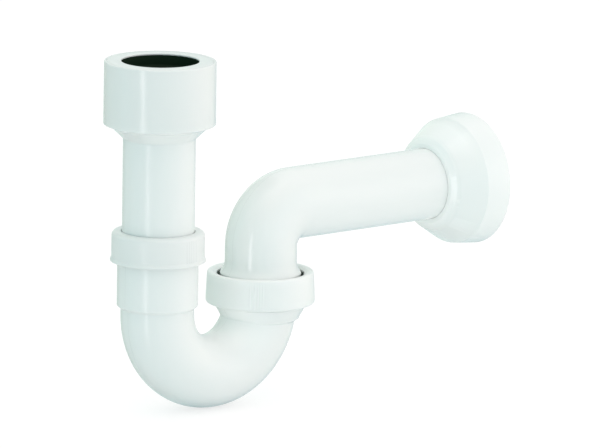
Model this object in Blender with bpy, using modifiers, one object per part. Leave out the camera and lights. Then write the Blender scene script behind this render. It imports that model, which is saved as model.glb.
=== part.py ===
"""P trap for a 40 mm waste, built in metres with +Z up.

The vertical inlet leg stands at -X and the horizontal outlet pipe runs to the
wall at +X.  Apart from the threads and grip ribs, the trap is symmetrical about
the plane Y = 0.  The origin is under the middle of the trap, at the height of
the lowest point of the U bend.

Twelve pieces: inlet tube with its push-in socket, lip seal and retaining ring,
compression nut with slip washer and cone seal, U bend, union nut with slip ring
and gasket, elbow with the outlet pipe, and the wall rosette.
"""
import math

import bmesh
import bpy
from mathutils import Matrix

MM = 0.001                # all dimensions below are in millimetres

# ---------------------------------------------------------------- dimensions
# Axes and levels
X_INLET = -100.0          # axis of the vertical inlet leg
LEG_SPACING = 72.5        # between the two vertical legs
X_OUTLET = X_INLET + LEG_SPACING
X_PIPE_END = 130.7        # free end of the outlet pipe
Z_RIM = 198.5             # mouth of the inlet socket
Z_PIPE = 108.3            # axis of the outlet pipe
TUBE_R = 20.0             # standard 40 mm tube
TUBE_BORE_R = 18.1

# Inlet tube
TUBE_BOTTOM = 73.0
HEAD_R = 30.8             # outside of the push-in socket
HEAD_WALL = 2.5
HEAD_INNER_R = HEAD_R - HEAD_WALL
HEAD_BOTTOM = 163.5

# U bend
BEND_R = LEG_SPACING / 2  # centre-line radius
BEND_TUBE_R = 20.3
BEND_BORE_R = 18.2
Z_BEND = BEND_R + BEND_TUBE_R          # level where the bend starts
BEND_INLET_LEVELS = (66.0, 61.0)       # stations of the straight part over the bend
WATERWAY_TOP = 64.0       # start of the bore on the inlet leg
INLET_SOCKET_R = 22.4
INLET_SOCKET_TOP = 95.5
INLET_SOCKET_STEP = 62.0
INLET_SOCKET_BORE_R = 20.4
OUTLET_SOCKET_R = 25.5
OUTLET_SOCKET_TOP = 65.2
OUTLET_SOCKET_BORE_R = 20.5

# Right-hand threads, one turn every THREAD_PITCH.  A socket's ridge and its
# nut's ridge start half a turn apart, so they mesh with half a pitch between.
THREAD_PITCH = 2.309
THREAD_DEPTH = 0.95       # half diagonal of the ridge section
THREAD_TURNS = 2.2
SOCKET_THREAD_PHASE = 0.0
NUT_THREAD_PHASE = SOCKET_THREAD_PHASE + 180.0
INLET_THREAD_START = 88.2
OUTLET_THREAD_START = 56.6
# Ridge centre-lines: outside the sockets' walls, inside the nuts' walls
INLET_SOCKET_RIDGE_OUT = 0.35
OUTLET_SOCKET_RIDGE_OUT = 0.4
NUT1_RIDGE_IN = 0.25
NUT2_RIDGE_IN = 0.35

# Nut 1 is on the inlet leg, nut 2 on the outlet leg
NUT1_TOP, NUT1_BOTTOM = 103.6, 86.9
NUT1_R, NUT1_BEAD_R, NUT1_HOLE_R = 25.7, 26.4, 20.7
NUT1_INNER_R = 24.3
NUT1_LIP_BOTTOM = 100.4   # underside of the inward lip
NUT1_SHOULDER = 2.4       # radius of the rounded shoulder
NUT1_SHOULDER_STEPS = 5
NUT2_TOP, NUT2_BOTTOM = 72.6, 55.1
NUT2_R, NUT2_HOLE_R = 30.3, 24.0
NUT2_INNER_R = 27.6
NUT2_LIP_BOTTOM = 69.9

# Grip ribs round the nuts
RIB_DEPTH = 1.8           # along the radius
RIB_WIDTH = 0.7           # round the nut
RIB_INSET = 0.4           # of the rib's middle inside the given radius
RIB_PATCHES = 3
RIBS_PER_PATCH = 6

# Elbow and outlet pipe
ELBOW_CORNER_R = 1.8      # at the inner corner
ELBOW_R = TUBE_R + ELBOW_CORNER_R      # centre-line radius
SPIGOT_BOTTOM = 52.0
SPIGOT_STATION = 74.0     # point on the straight spigot below the elbow
COLLAR_R = 22.6
PIPE_BORE_OVERRUN = 3.0   # of the bore cutter past both ends of the pipe

# Wall rosette, positions along X
ROSETTE_FRONT = 90.3
ROSETTE_BACK = 122.4
ROSETTE_R = 36.4
ROSETTE_HOLE_R = 20.45
ROSETTE_WALL = 1.6

# Segment counts
LATHE_SIDES = 36          # round a turned piece
THREAD_SIDES = 30         # in one turn of a thread
BEND_STEPS = 18           # along the U bend
ELBOW_STEPS = 12          # along the elbow
ROUND_BEVEL = 10          # curve bevel resolution of a round rod
DIAMOND_BEVEL = 0         # curve bevel resolution that gives four sides

SHARP_ANGLE = 35.0        # degrees between faces from which an edge is sharp


# ---------------------------------------------------------------- scene set-up
for startup in list(bpy.data.objects):
    bpy.data.objects.remove(startup, do_unlink=True)

parts = bpy.data.collections.new("p_trap")
cutters = bpy.data.collections.new("cutters")
for collection in (parts, cutters):
    bpy.context.scene.collection.children.link(collection)


def make_material(name, colour, roughness):
    material = bpy.data.materials.new(name)
    material.use_nodes = True
    shader = material.node_tree.nodes["Principled BSDF"]
    shader.inputs["Base Color"].default_value = (*colour, 1.0)
    shader.inputs["Roughness"].default_value = roughness
    shader.inputs["Metallic"].default_value = 0.0
    return material


WHITE = make_material("white_polypropylene", colour=(0.84, 0.87, 0.86), roughness=0.22)
BLACK = make_material("black_rubber", colour=(0.015, 0.015, 0.016), roughness=0.55)
MILKY = make_material("natural_polyethylene", colour=(0.80, 0.81, 0.78), roughness=0.40)


def axis_empty(name, x, z):
    """An empty on a joint's axis, which carries the pieces that turn round it."""
    empty = bpy.data.objects.new(name, None)
    empty.location = (x * MM, 0.0, z * MM)
    empty.empty_display_size = 0.02
    parts.objects.link(empty)
    return empty


inlet_axis = axis_empty("inlet_axis", X_INLET, 0.0)
outlet_axis = axis_empty("outlet_axis", X_OUTLET, 0.0)
pipe_axis = axis_empty("pipe_axis", 0.0, Z_PIPE)
# Brings the empties' world matrices up to date for finish().
bpy.context.view_layer.update()


# ---------------------------------------------------------------- tools
def finish(obj, parent, material):
    """Parents a piece to its axis without moving it, and gives it its finish."""
    obj.data.materials.append(material)
    obj.parent = parent
    obj.matrix_parent_inverse = parent.matrix_world.inverted()
    obj.data.shade_smooth()
    # A turned piece has no faces of its own: they come from its modifier.
    if len(obj.data.polygons):
        obj.data.set_sharp_from_angle(angle=math.radians(SHARP_ANGLE))


def lathe(name, profile, x, collection, closed):
    """A shape turned about local Z from a profile of (radius, height) pairs."""
    mesh = bpy.data.meshes.new(name)
    bm = bmesh.new()
    verts = [bm.verts.new((radius * MM, 0.0, z * MM)) for radius, z in profile]
    for start, end in zip(verts, verts[1:]):
        bm.edges.new((start, end))
    if closed:
        bm.edges.new((verts[-1], verts[0]))
    bm.to_mesh(mesh)
    bm.free()
    obj = bpy.data.objects.new(name, mesh)
    obj.location.x = x * MM
    collection.objects.link(obj)
    screw = obj.modifiers.new("turn", "SCREW")
    screw.axis = "Z"
    screw.angle = 2.0 * math.pi
    screw.steps = LATHE_SIDES
    screw.render_steps = LATHE_SIDES
    screw.use_merge_vertices = True
    screw.merge_threshold = 1e-5
    screw.use_smooth_shade = True
    return obj


def turned_piece(name, profile, x, parent, material):
    """A finished ring.  Its profile runs down the outer side and up the bore."""
    obj = lathe(name, profile, x, parts, closed=True)
    finish(obj, parent, material)
    return obj


def turned_helper(name, profile, x):
    """A solid for a boolean.  Its profile runs down from the axis to the axis."""
    return lathe(name, profile, x, cutters, closed=False)


def rod(name, points, radius, collection=cutters, bevel_resolution=ROUND_BEVEL,
        twist="MINIMUM"):
    """A solid rod along a list of points, made as a curve and turned into a mesh."""
    curve = bpy.data.curves.new(name, "CURVE")
    curve.dimensions = "3D"
    curve.bevel_depth = radius * MM
    curve.bevel_resolution = bevel_resolution
    curve.use_fill_caps = True
    curve.twist_mode = twist
    spline = curve.splines.new("POLY")
    spline.points.add(len(points) - 1)
    for point, (x, y, z) in zip(spline.points, points):
        point.co = (x * MM, y * MM, z * MM, 1.0)
    curve_obj = bpy.data.objects.new(name, curve)
    collection.objects.link(curve_obj)

    bpy.context.view_layer.update()
    depsgraph = bpy.context.evaluated_depsgraph_get()
    mesh = bpy.data.meshes.new_from_object(curve_obj.evaluated_get(depsgraph))
    bpy.data.objects.remove(curve_obj, do_unlink=True)
    mesh.name = name
    # Welds the end caps to the wall.
    bm = bmesh.new()
    bm.from_mesh(mesh)
    bmesh.ops.remove_doubles(bm, verts=bm.verts, dist=1e-6)
    bmesh.ops.recalc_face_normals(bm, faces=bm.faces)
    bm.to_mesh(mesh)
    bm.free()
    obj = bpy.data.objects.new(name, mesh)
    collection.objects.link(obj)
    return obj


def boolean(obj, operation, helper):
    """Joins or cuts with a helper, which is hidden from renders."""
    helper.hide_render = True
    helper.display_type = "WIRE"
    modifier = obj.modifiers.new(operation.lower() + "_" + helper.name, "BOOLEAN")
    modifier.operation = operation
    modifier.solver = "EXACT"
    modifier.object = helper


def arc(centre_x, centre_z, radius, start_deg, end_deg, steps):
    """Points on an arc in the XZ plane."""
    points = []
    for i in range(steps + 1):
        angle = math.radians(start_deg + (end_deg - start_deg) * i / steps)
        points.append((centre_x + radius * math.cos(angle), 0.0,
                       centre_z + radius * math.sin(angle)))
    return points


def thread(name, radius, z_start, phase_deg, x):
    """A right-hand helical ridge of diamond section about local Z."""
    helix = []
    for i in range(round(THREAD_TURNS * THREAD_SIDES) + 1):
        angle = math.radians(phase_deg) + 2.0 * math.pi * i / THREAD_SIDES
        helix.append((radius * math.cos(angle), radius * math.sin(angle),
                      z_start + THREAD_PITCH * i / THREAD_SIDES))
    ridge = rod(name, helix, THREAD_DEPTH, bevel_resolution=DIAMOND_BEVEL, twist="Z_UP")
    ridge.location.x = x * MM
    return ridge


def grip_ribs(name, radius, z_low, z_high, first_deg, step_deg, x):
    """Patches of upright grip ribs round a nut, as one object of separate bars.

    first_deg is the middle of the first patch, step_deg the angle between ribs.
    """
    bm = bmesh.new()
    height = z_high - z_low
    for patch in range(RIB_PATCHES):
        for rib in range(RIBS_PER_PATCH):
            angle = math.radians(first_deg + 360.0 / RIB_PATCHES * patch
                                 + step_deg * (rib - (RIBS_PER_PATCH - 1) / 2.0))
            verts = bmesh.ops.create_cube(bm, size=1.0)["verts"]
            bmesh.ops.scale(bm, vec=(RIB_DEPTH * MM, RIB_WIDTH * MM, height * MM),
                            verts=verts)
            centre = ((radius - RIB_INSET) * MM, 0.0, (z_low + height / 2.0) * MM)
            bmesh.ops.translate(bm, vec=centre, verts=verts)
            bmesh.ops.rotate(bm, cent=(0.0, 0.0, 0.0), verts=verts,
                             matrix=Matrix.Rotation(angle, 3, "Z"))
    mesh = bpy.data.meshes.new(name)
    bm.to_mesh(mesh)
    bm.free()
    obj = bpy.data.objects.new(name, mesh)
    cutters.objects.link(obj)
    obj.location.x = x * MM
    return obj


# Every profile below lists (radius, height) pairs.

# ---------------------------------------------------------------- inlet leg
# Straight tube with the wide push-in socket on its top.  The socket narrows to
# the tube through a flat chamfer and a steeper cone.
INLET_TUBE_PROFILE = [
    (HEAD_R - 0.9, Z_RIM), (HEAD_R, Z_RIM - 0.9),
    (HEAD_R + 0.1, HEAD_BOTTOM), (26.5, 161.7), (20.8, 156.2), (20.2, 155.4),
    (TUBE_R, 154.4), (TUBE_R, TUBE_BOTTOM + 1.0), (TUBE_R - 0.8, TUBE_BOTTOM),
    (TUBE_BORE_R, TUBE_BOTTOM),
    (TUBE_BORE_R, 155.6), (19.2, 158.0), (20.4, 160.6), (21.0, 163.4),
    (HEAD_INNER_R, 164.6), (HEAD_INNER_R, 194.2), (29.3, 194.9), (29.3, Z_RIM),
]
turned_piece("inlet_tube", INLET_TUBE_PROFILE, X_INLET, inlet_axis, WHITE)

# Rubber seal with three lips that lean downwards, held in the socket.
LIP_SEAL_PROFILE = [
    (27.9, 193.9), (27.9, 165.0), (21.4, 165.0),
    (21.4, 171.8), (17.2, 170.0), (17.2, 171.2), (21.4, 174.2),    # lowest lip
    (21.4, 180.8), (18.0, 179.0), (18.0, 180.2), (21.4, 183.2),    # middle lip
    (21.4, 190.4), (18.9, 189.0), (18.9, 190.2), (21.4, 192.8),    # top lip
    (21.4, 197.3), (22.3, 197.2), (23.2, 193.9),
]
turned_piece("inlet_lip_seal", LIP_SEAL_PROFILE, X_INLET, inlet_axis, BLACK)

# White ring in the mouth, flush with the rim.
RETAINING_RING_PROFILE = [
    (28.95, Z_RIM), (28.95, 195.3), (27.9, 194.5), (23.6, 194.5), (22.9, 197.4),
    (21.45, 197.6), (21.45, Z_RIM - 0.3), (21.75, Z_RIM),
]
turned_piece("seal_retaining_ring", RETAINING_RING_PROFILE, X_INLET, inlet_axis, WHITE)

# Nut 1: rounded shoulder over a small inward lip, a bead round its lower edge.
nut1_shoulder = [(x, z) for x, y, z in arc(
    NUT1_R - NUT1_SHOULDER, NUT1_TOP - NUT1_SHOULDER, NUT1_SHOULDER,
    90.0, 0.0, NUT1_SHOULDER_STEPS)]
NUT1_PROFILE = [
    (NUT1_HOLE_R, NUT1_TOP), *nut1_shoulder,
    (NUT1_R + 0.05, 89.0), (NUT1_BEAD_R, 87.9), (NUT1_BEAD_R, 87.2), (26.1, NUT1_BOTTOM),
    (NUT1_INNER_R + 0.3, NUT1_BOTTOM), (NUT1_INNER_R, 87.5),
    (NUT1_INNER_R, NUT1_LIP_BOTTOM), (NUT1_HOLE_R, NUT1_LIP_BOTTOM),
]
nut1 = turned_piece("inlet_compression_nut", NUT1_PROFILE, X_INLET, inlet_axis, WHITE)
boolean(nut1, "UNION", thread("nut1_thread", NUT1_INNER_R - NUT1_RIDGE_IN,
                              INLET_THREAD_START, NUT_THREAD_PHASE, X_INLET))
boolean(nut1, "UNION", grip_ribs("nut1_ribs", NUT1_R, z_low=89.2, z_high=100.8,
                                 first_deg=-80.5, step_deg=3.4, x=X_INLET))

# Slip washer under the nut's lip, and the cone seal below it round the tube.
SLIP_WASHER_PROFILE = [(23.6, 100.0), (23.6, 98.9), (20.5, 98.9), (20.5, 100.0)]
turned_piece("inlet_slip_washer", SLIP_WASHER_PROFILE, X_INLET, inlet_axis, MILKY)

CONE_SEAL_PROFILE = [
    (22.5, 98.5), (22.5, 96.1), (21.2, 95.8), (20.9, 91.0), (20.3, 91.0), (20.3, 98.5),
]
turned_piece("inlet_cone_seal", CONE_SEAL_PROFILE, X_INLET, inlet_axis, BLACK)

# ---------------------------------------------------------------- U bend
bend_arc = arc(X_INLET + BEND_R, Z_BEND, BEND_R, 180.0, 360.0, BEND_STEPS)
bend_path = [(X_INLET, 0.0, z) for z in BEND_INLET_LEVELS] + bend_arc
trap_bend = rod("trap_bend", bend_path, BEND_TUBE_R, parts)

# Plain socket on the inlet leg, with a step at its lower end.
INLET_SOCKET_PROFILE = [
    (0.0, INLET_SOCKET_TOP), (INLET_SOCKET_R - 0.3, INLET_SOCKET_TOP),
    (INLET_SOCKET_R, INLET_SOCKET_TOP - 0.4),
    (INLET_SOCKET_R, INLET_SOCKET_STEP), (19.6, 60.0), (0.0, 60.0),
]
# Conical socket on the outlet leg: it widens upwards from the bend to the thread.
OUTLET_SOCKET_PROFILE = [
    (0.0, OUTLET_SOCKET_TOP), (OUTLET_SOCKET_R - 0.4, OUTLET_SOCKET_TOP),
    (OUTLET_SOCKET_R, OUTLET_SOCKET_TOP - 0.5),
    (OUTLET_SOCKET_R, 53.6), (22.2, 47.2), (21.6, 46.3), (19.4, 45.0), (0.0, 45.0),
]
INLET_BORE_PROFILE = [
    (0.0, 99.0), (21.7, 99.0), (21.6, INLET_SOCKET_TOP - 0.4), (21.3, 90.4),
    (INLET_SOCKET_BORE_R, 90.0), (INLET_SOCKET_BORE_R, 62.3), (18.0, 61.2), (0.0, 61.2),
]
OUTLET_BORE_PROFILE = [
    (0.0, 68.0), (21.6, 68.0), (21.6, OUTLET_SOCKET_TOP + 0.3), (OUTLET_SOCKET_BORE_R, 64.2),
    (OUTLET_SOCKET_BORE_R, 50.4), (18.0, 49.4), (0.0, 49.4),
]
# Sockets and their threads are joined on before the waterway and bores are cut.
for helper in (
    turned_helper("inlet_socket_body", INLET_SOCKET_PROFILE, X_INLET),
    turned_helper("outlet_socket_body", OUTLET_SOCKET_PROFILE, X_OUTLET),
    thread("inlet_socket_thread", INLET_SOCKET_R + INLET_SOCKET_RIDGE_OUT,
           INLET_THREAD_START, SOCKET_THREAD_PHASE, X_INLET),
    thread("outlet_socket_thread", OUTLET_SOCKET_R + OUTLET_SOCKET_RIDGE_OUT,
           OUTLET_THREAD_START, SOCKET_THREAD_PHASE, X_OUTLET),
):
    boolean(trap_bend, "UNION", helper)
for helper in (
    rod("waterway", [(X_INLET, 0.0, WATERWAY_TOP)] + bend_arc, BEND_BORE_R),
    turned_helper("inlet_socket_bore", INLET_BORE_PROFILE, X_INLET),
    turned_helper("outlet_socket_bore", OUTLET_BORE_PROFILE, X_OUTLET),
):
    boolean(trap_bend, "DIFFERENCE", helper)
finish(trap_bend, outlet_axis, WHITE)

# ---------------------------------------------------------------- outlet union
# Nut 2: rounded top edge over an inward lip, slightly wider towards its foot.
NUT2_PROFILE = [
    (NUT2_HOLE_R + 0.2, 71.4), (26.9, NUT2_TOP), (28.3, NUT2_TOP), (29.2, 72.3),
    (29.7, 71.5), (29.85, 69.0), (NUT2_R, 57.6), (30.0, 56.0), (29.0, NUT2_BOTTOM),
    (NUT2_INNER_R + 0.3, NUT2_BOTTOM), (NUT2_INNER_R, 55.7),
    (NUT2_INNER_R, NUT2_LIP_BOTTOM), (NUT2_HOLE_R, NUT2_LIP_BOTTOM), (NUT2_HOLE_R, 71.1),
]
nut2 = turned_piece("outlet_union_nut", NUT2_PROFILE, X_OUTLET, outlet_axis, WHITE)
boolean(nut2, "UNION", thread("nut2_thread", NUT2_INNER_R - NUT2_RIDGE_IN,
                              OUTLET_THREAD_START, NUT_THREAD_PHASE, X_OUTLET))
boolean(nut2, "UNION", grip_ribs("nut2_ribs", NUT2_R - 0.2, z_low=56.2, z_high=69.4,
                                 first_deg=-132.7, step_deg=2.8, x=X_OUTLET))

# Thin slip ring between the nut's lip and the gasket.
SLIP_RING_PROFILE = [(26.8, 69.5), (26.8, 68.6), (24.6, 68.6), (24.6, 69.5)]
turned_piece("outlet_slip_ring", SLIP_RING_PROFILE, X_OUTLET, outlet_axis, MILKY)

# Flat gasket with a thin lip that stands up round the pipe's collar.
GASKET_PROFILE = [
    (25.7, 68.2), (25.7, 66.0), (25.3, 65.6), (21.2, 65.6), (20.3, 66.2), (20.3, 68.8),
    (22.95, 68.8), (23.0, 70.6), (23.5, 70.6), (23.55, 68.8), (24.1, 68.8), (24.3, 68.2),
]
turned_piece("outlet_gasket", GASKET_PROFILE, X_OUTLET, outlet_axis, BLACK)


# ---------------------------------------------------------------- outlet pipe
def elbow_path(overrun):
    """Centre line up the spigot, round the elbow and along the pipe."""
    return [
        (X_OUTLET, 0.0, SPIGOT_BOTTOM - overrun), (X_OUTLET, 0.0, SPIGOT_STATION),
        *arc(X_OUTLET + ELBOW_R, Z_PIPE - ELBOW_R, ELBOW_R, 180.0, 90.0, ELBOW_STEPS),
        (X_PIPE_END + overrun, 0.0, Z_PIPE),
    ]


COLLAR_PROFILE = [
    (0.0, 79.4), (19.3, 79.4), (20.1, 76.2), (21.2, 73.5), (COLLAR_R, 71.8),
    (COLLAR_R, 69.2), (0.0, 69.2),
]
elbow_pipe = rod("outlet_elbow_pipe", elbow_path(0.0), TUBE_R, parts)
boolean(elbow_pipe, "UNION", turned_helper("collar_body", COLLAR_PROFILE, X_OUTLET))
boolean(elbow_pipe, "DIFFERENCE",
        rod("pipe_bore", elbow_path(PIPE_BORE_OVERRUN), TUBE_BORE_R))
finish(elbow_pipe, pipe_axis, WHITE)

# ---------------------------------------------------------------- wall rosette
# Thin conical shell on the pipe.  Local Z runs along the pipe towards the wall,
# so the outer side runs from the back rim to the front edge of the hole.
ROSETTE_PROFILE = [
    (ROSETTE_R, ROSETTE_BACK), (35.4, 107.6), (34.6, 106.8),
    (27.6, 94.5), (26.2, 92.9), (22.6, 90.5), (21.8, ROSETTE_FRONT),
    (ROSETTE_HOLE_R, ROSETTE_FRONT),
    (ROSETTE_HOLE_R, 92.2), (25.4, 94.3), (26.3, 95.8), (33.0, 107.7),
    (33.7, 109.0), (ROSETTE_R - ROSETTE_WALL, ROSETTE_BACK),
]
wall_rosette = turned_piece("wall_rosette", ROSETTE_PROFILE, 0.0, pipe_axis, WHITE)
wall_rosette.rotation_euler.y = math.radians(90.0)
wall_rosette.location.z = Z_PIPE * MM
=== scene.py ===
"""Looks for a P trap: white moulded plastic, black rubber seals, a studio and a camera.

The inlet leg stands upright on the left at X_IN.  A U bend near the floor joins it to
the outlet leg at X_OUT, whose pipe turns through an elbow and runs along +X into the
wall rosette.  All axes lie in the plane Y = 0.  Lengths are millimetres, unless a
comment says otherwise, and become metres where they enter Blender.
"""
import math

import bpy
import numpy as np
from mathutils import Matrix, Vector


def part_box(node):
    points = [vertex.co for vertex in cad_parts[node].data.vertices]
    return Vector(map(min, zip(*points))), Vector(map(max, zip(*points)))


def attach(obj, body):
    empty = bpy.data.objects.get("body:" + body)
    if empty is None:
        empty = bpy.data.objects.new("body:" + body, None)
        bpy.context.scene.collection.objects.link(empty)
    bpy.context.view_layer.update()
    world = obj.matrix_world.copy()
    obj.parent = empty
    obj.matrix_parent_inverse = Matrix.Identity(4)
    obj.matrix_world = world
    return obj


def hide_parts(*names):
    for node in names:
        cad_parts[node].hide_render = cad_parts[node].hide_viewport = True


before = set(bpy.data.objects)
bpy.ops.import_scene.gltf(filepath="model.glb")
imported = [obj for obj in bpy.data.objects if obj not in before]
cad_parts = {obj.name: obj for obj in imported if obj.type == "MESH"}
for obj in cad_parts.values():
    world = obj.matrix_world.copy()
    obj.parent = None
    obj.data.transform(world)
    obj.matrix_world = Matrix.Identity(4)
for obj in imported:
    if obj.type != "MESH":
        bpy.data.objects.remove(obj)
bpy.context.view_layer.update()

MM = 0.001
TAU = 2.0 * math.pi


# ------------------------------------------------------------------ main sizes
def box_mm(part):
    low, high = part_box(part)
    return np.array(low) * 1000.0, np.array(high) * 1000.0


low_head, high_head = box_mm("inlet_tube")
low_rose, high_rose = box_mm("wall_rosette")

X_IN = 0.5 * (low_head[0] + high_head[0])
X_OUT = -27.5
Z_RIM = high_head[2]                       # top of the inlet socket
Z_PIPE = 0.5 * (low_rose[2] + high_rose[2])
X_END = box_mm("outlet_elbow_pipe")[1][0]  # open end of the outlet pipe
X_NOSE, X_WALL = low_rose[0], high_rose[0]  # narrow and wide ends of the rosette
SOCKET_FOOT_Z = 163.5                      # where the inlet socket starts to narrow

BEND_R = 0.5 * (X_OUT - X_IN)
BEND_TUBE_R = 20.3
BEND_BORE_R = 18.2
Z_BEND = BEND_R + BEND_TUBE_R
X_BEND = X_IN + BEND_R
PIPE_R = 20.0
PIPE_BORE_R = 18.1
ELBOW_R = 21.8

PITCH = 2.309
THREAD_TURNS = 2.2
THREAD_HALF_WIDTH = 0.80
THREAD1_START = 88.2                       # height of the inlet thread's lower end
THREAD2_START = 56.6                       # and of the outlet thread's


# ------------------------------------------------------------------ outlines
def fillet(points, segments=4):
    """Closed outline of (r, z[, corner radius]) to a polyline with rounded corners."""
    count = len(points)
    out = []
    for i, point in enumerate(points):
        radius = point[2] if len(point) > 2 else 0.0
        corner = np.array(point[:2], float)
        if radius <= 0.0:
            out.append(corner)
            continue
        back = np.array(points[i - 1][:2], float) - corner
        ahead = np.array(points[(i + 1) % count][:2], float) - corner
        back_len, ahead_len = np.linalg.norm(back), np.linalg.norm(ahead)
        back, ahead = back / back_len, ahead / ahead_len
        angle = math.acos(float(np.clip(back @ ahead, -1.0, 1.0)))
        if angle > math.radians(176.0):    # all but straight: nothing to round
            out.append(corner)
            continue
        cut = min(radius / math.tan(angle / 2.0), 0.49 * back_len, 0.49 * ahead_len)
        radius = cut * math.tan(angle / 2.0)
        middle = (back + ahead) / np.linalg.norm(back + ahead)
        centre = corner + middle * (radius / math.sin(angle / 2.0))
        first = corner + back * cut - centre
        last = corner + ahead * cut - centre
        start = math.atan2(first[1], first[0])
        sweep = (math.atan2(last[1], last[0]) - start + math.pi) % TAU - math.pi
        for k in range(segments + 1):
            t = start + sweep * k / segments
            out.append(centre + radius * np.array([math.cos(t), math.sin(t)]))
    return out


def refine(profile, wall_r, thread_start):
    """Splits the edges along a threaded wall, so that the thread can stand on them."""
    z_low, z_high = thread_start - 1.1, thread_start + 6.6
    out = []
    for i, a in enumerate(profile):
        b = profile[(i + 1) % len(profile)]
        out.append(a)
        if (wall_r - 0.2 <= min(a[0], b[0]) and max(a[0], b[0]) <= wall_r + 0.2
                and max(a[1], b[1]) > z_low and min(a[1], b[1]) < z_high):
            count = int(np.linalg.norm(b - a) / 0.16)
            out += [a + (b - a) * k / count for k in range(1, count)]
    return out


def smooth01(x):
    x = np.clip(x, 0.0, 1.0)
    return x * x * (3.0 - 2.0 * x)


def thread_ridge(theta, z, z_start, phase, height):
    """Height of a right-hand helical ridge of rounded trapezoid section."""
    turn = np.mod(theta - phase, TAU)
    k = np.round((z - z_start) / PITCH - turn / TAU)
    along = turn + TAU * k
    off = np.abs(z - z_start - PITCH * along / TAU)
    body = smooth01((THREAD_HALF_WIDTH - off) / (THREAD_HALF_WIDTH * 0.75))
    ends = smooth01(along / 0.5) * smooth01((TAU * THREAD_TURNS - along) / 0.5)
    return height * body * ends


# ------------------------------------------------------------------ mesh tools
def even_angles(count):
    return np.linspace(0.0, TAU, count, endpoint=False)


def level_ring(x, radius, z, angles):
    """Level ring of points about the upright axis at x."""
    return np.stack([x + radius * np.cos(angles), radius * np.sin(angles),
                     np.full_like(angles, z)], -1)


def turned(profile, x, angles, shape=None):
    """Rings of a piece turned about the upright axis at x; shape gives a new radius."""
    return [level_ring(x, shape(angles, r, z) if shape else r, z, angles)
            for r, z in profile]


def grid_object(name, rings):
    """A closed ring-shaped surface from rings of points (v, u, xyz)."""
    nv, nu, _ = rings.shape
    mesh = bpy.data.meshes.new(name)
    co = (rings.reshape(-1, 3) * MM).astype(np.float32)
    v = np.arange(nv)[:, None]
    u = np.arange(nu)[None, :]
    v1, u1 = (v + 1) % nv, (u + 1) % nu
    quads = np.stack([v * nu + u, v1 * nu + u, v1 * nu + u1, v * nu + u1], -1)
    quads = quads.reshape(-1, 4)
    mesh.vertices.add(len(co))
    mesh.vertices.foreach_set("co", co.ravel())
    mesh.loops.add(quads.size)
    mesh.loops.foreach_set("vertex_index", quads.ravel().astype(np.int32))
    mesh.polygons.add(len(quads))
    mesh.polygons.foreach_set("loop_start", np.arange(0, quads.size, 4, dtype=np.int32))
    mesh.update(calc_edges=True)
    mesh.validate()
    mesh.shade_smooth()
    mesh.set_sharp_from_angle(angle=math.radians(40.0))
    obj = bpy.data.objects.new(name, mesh)
    bpy.context.scene.collection.objects.link(obj)
    return obj


def add_piece(part, body, rings, material):
    """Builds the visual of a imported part, which rides on the given body."""
    obj = grid_object(part + "_visual", np.array(rings))
    obj.data.materials.append(material)
    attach(obj, body)
    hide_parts(part)


# ------------------------------------------------------------------ node tools
def new_material(name):
    mat = bpy.data.materials.new(name)
    mat.use_nodes = True
    return mat, mat.node_tree, mat.node_tree.nodes["Principled BSDF"]


def set_inputs(target, values):
    for key, value in values.items():
        target.inputs[key].default_value = value


def feed(nt, socket, value):
    """Links a socket, or stores a constant, into an input."""
    if isinstance(value, bpy.types.NodeSocket):
        nt.links.new(value, socket)
    else:
        socket.default_value = value


def math_node(nt, op, *values):
    n = nt.nodes.new("ShaderNodeMath")
    n.operation = op
    for i, value in enumerate(values):
        feed(nt, n.inputs[i], value)
    return n.outputs[0]


def vector_node(nt, op, *values, scale=None):
    n = nt.nodes.new("ShaderNodeVectorMath")
    n.operation = op
    for i, value in enumerate(values):
        feed(nt, n.inputs[i], value)
    if scale is not None:
        feed(nt, n.inputs["Scale"], scale)
    return n.outputs["Value" if op in ("DOT_PRODUCT", "DISTANCE") else "Vector"]


def mapped(nt, source, span=(0.0, 1.0), to=(0.0, 1.0), smooth=False):
    """Maps the input span to the output range, clamped."""
    n = nt.nodes.new("ShaderNodeMapRange")
    if smooth:
        n.interpolation_type = "SMOOTHSTEP"
    set_inputs(n, {"From Min": span[0], "From Max": span[1],
                   "To Min": to[0], "To Max": to[1]})
    nt.links.new(source, n.inputs["Value"])
    return n.outputs["Result"]


def enabled(sockets):
    return [s for s in sockets if s.enabled]


def mix_colour(nt, factor, first, second, blend="MIX"):
    n = nt.nodes.new("ShaderNodeMix")
    n.data_type = "RGBA"
    n.blend_type = blend
    for socket, value in zip(enabled(n.inputs), (factor, first, second)):
        feed(nt, socket, (*value, 1.0) if isinstance(value, tuple) else value)
    return enabled(n.outputs)[0]


def noise(nt, vector, scale, detail, roughness=0.5):
    n = nt.nodes.new("ShaderNodeTexNoise")
    set_inputs(n, {"Scale": scale, "Detail": detail, "Roughness": roughness})
    nt.links.new(vector, n.inputs["Vector"])
    return n.outputs["Fac"]


def mapping(nt, vector, **values):
    n = nt.nodes.new("ShaderNodeMapping")
    set_inputs(n, values)
    nt.links.new(vector, n.inputs["Vector"])
    return n.outputs["Vector"]


def object_coords(nt):
    return nt.nodes.new("ShaderNodeTexCoord").outputs["Object"]


def separate(nt, vector):
    n = nt.nodes.new("ShaderNodeSeparateXYZ")
    nt.links.new(vector, n.inputs["Vector"])
    return n.outputs


def add_bump(nt, bsdf, height, strength, distance):
    """Bump on the shader's normal; distance is in metres."""
    n = nt.nodes.new("ShaderNodeBump")
    set_inputs(n, {"Strength": strength, "Distance": distance})
    nt.links.new(height, n.inputs["Height"])
    nt.links.new(n.outputs["Normal"], bsdf.inputs["Normal"])


# ------------------------------------------------------------------ materials
SATIN_GLOSS = 0.27        # a polish whose upper roughness is below this is capped
ROUGHNESS_CAP = 0.268
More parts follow.
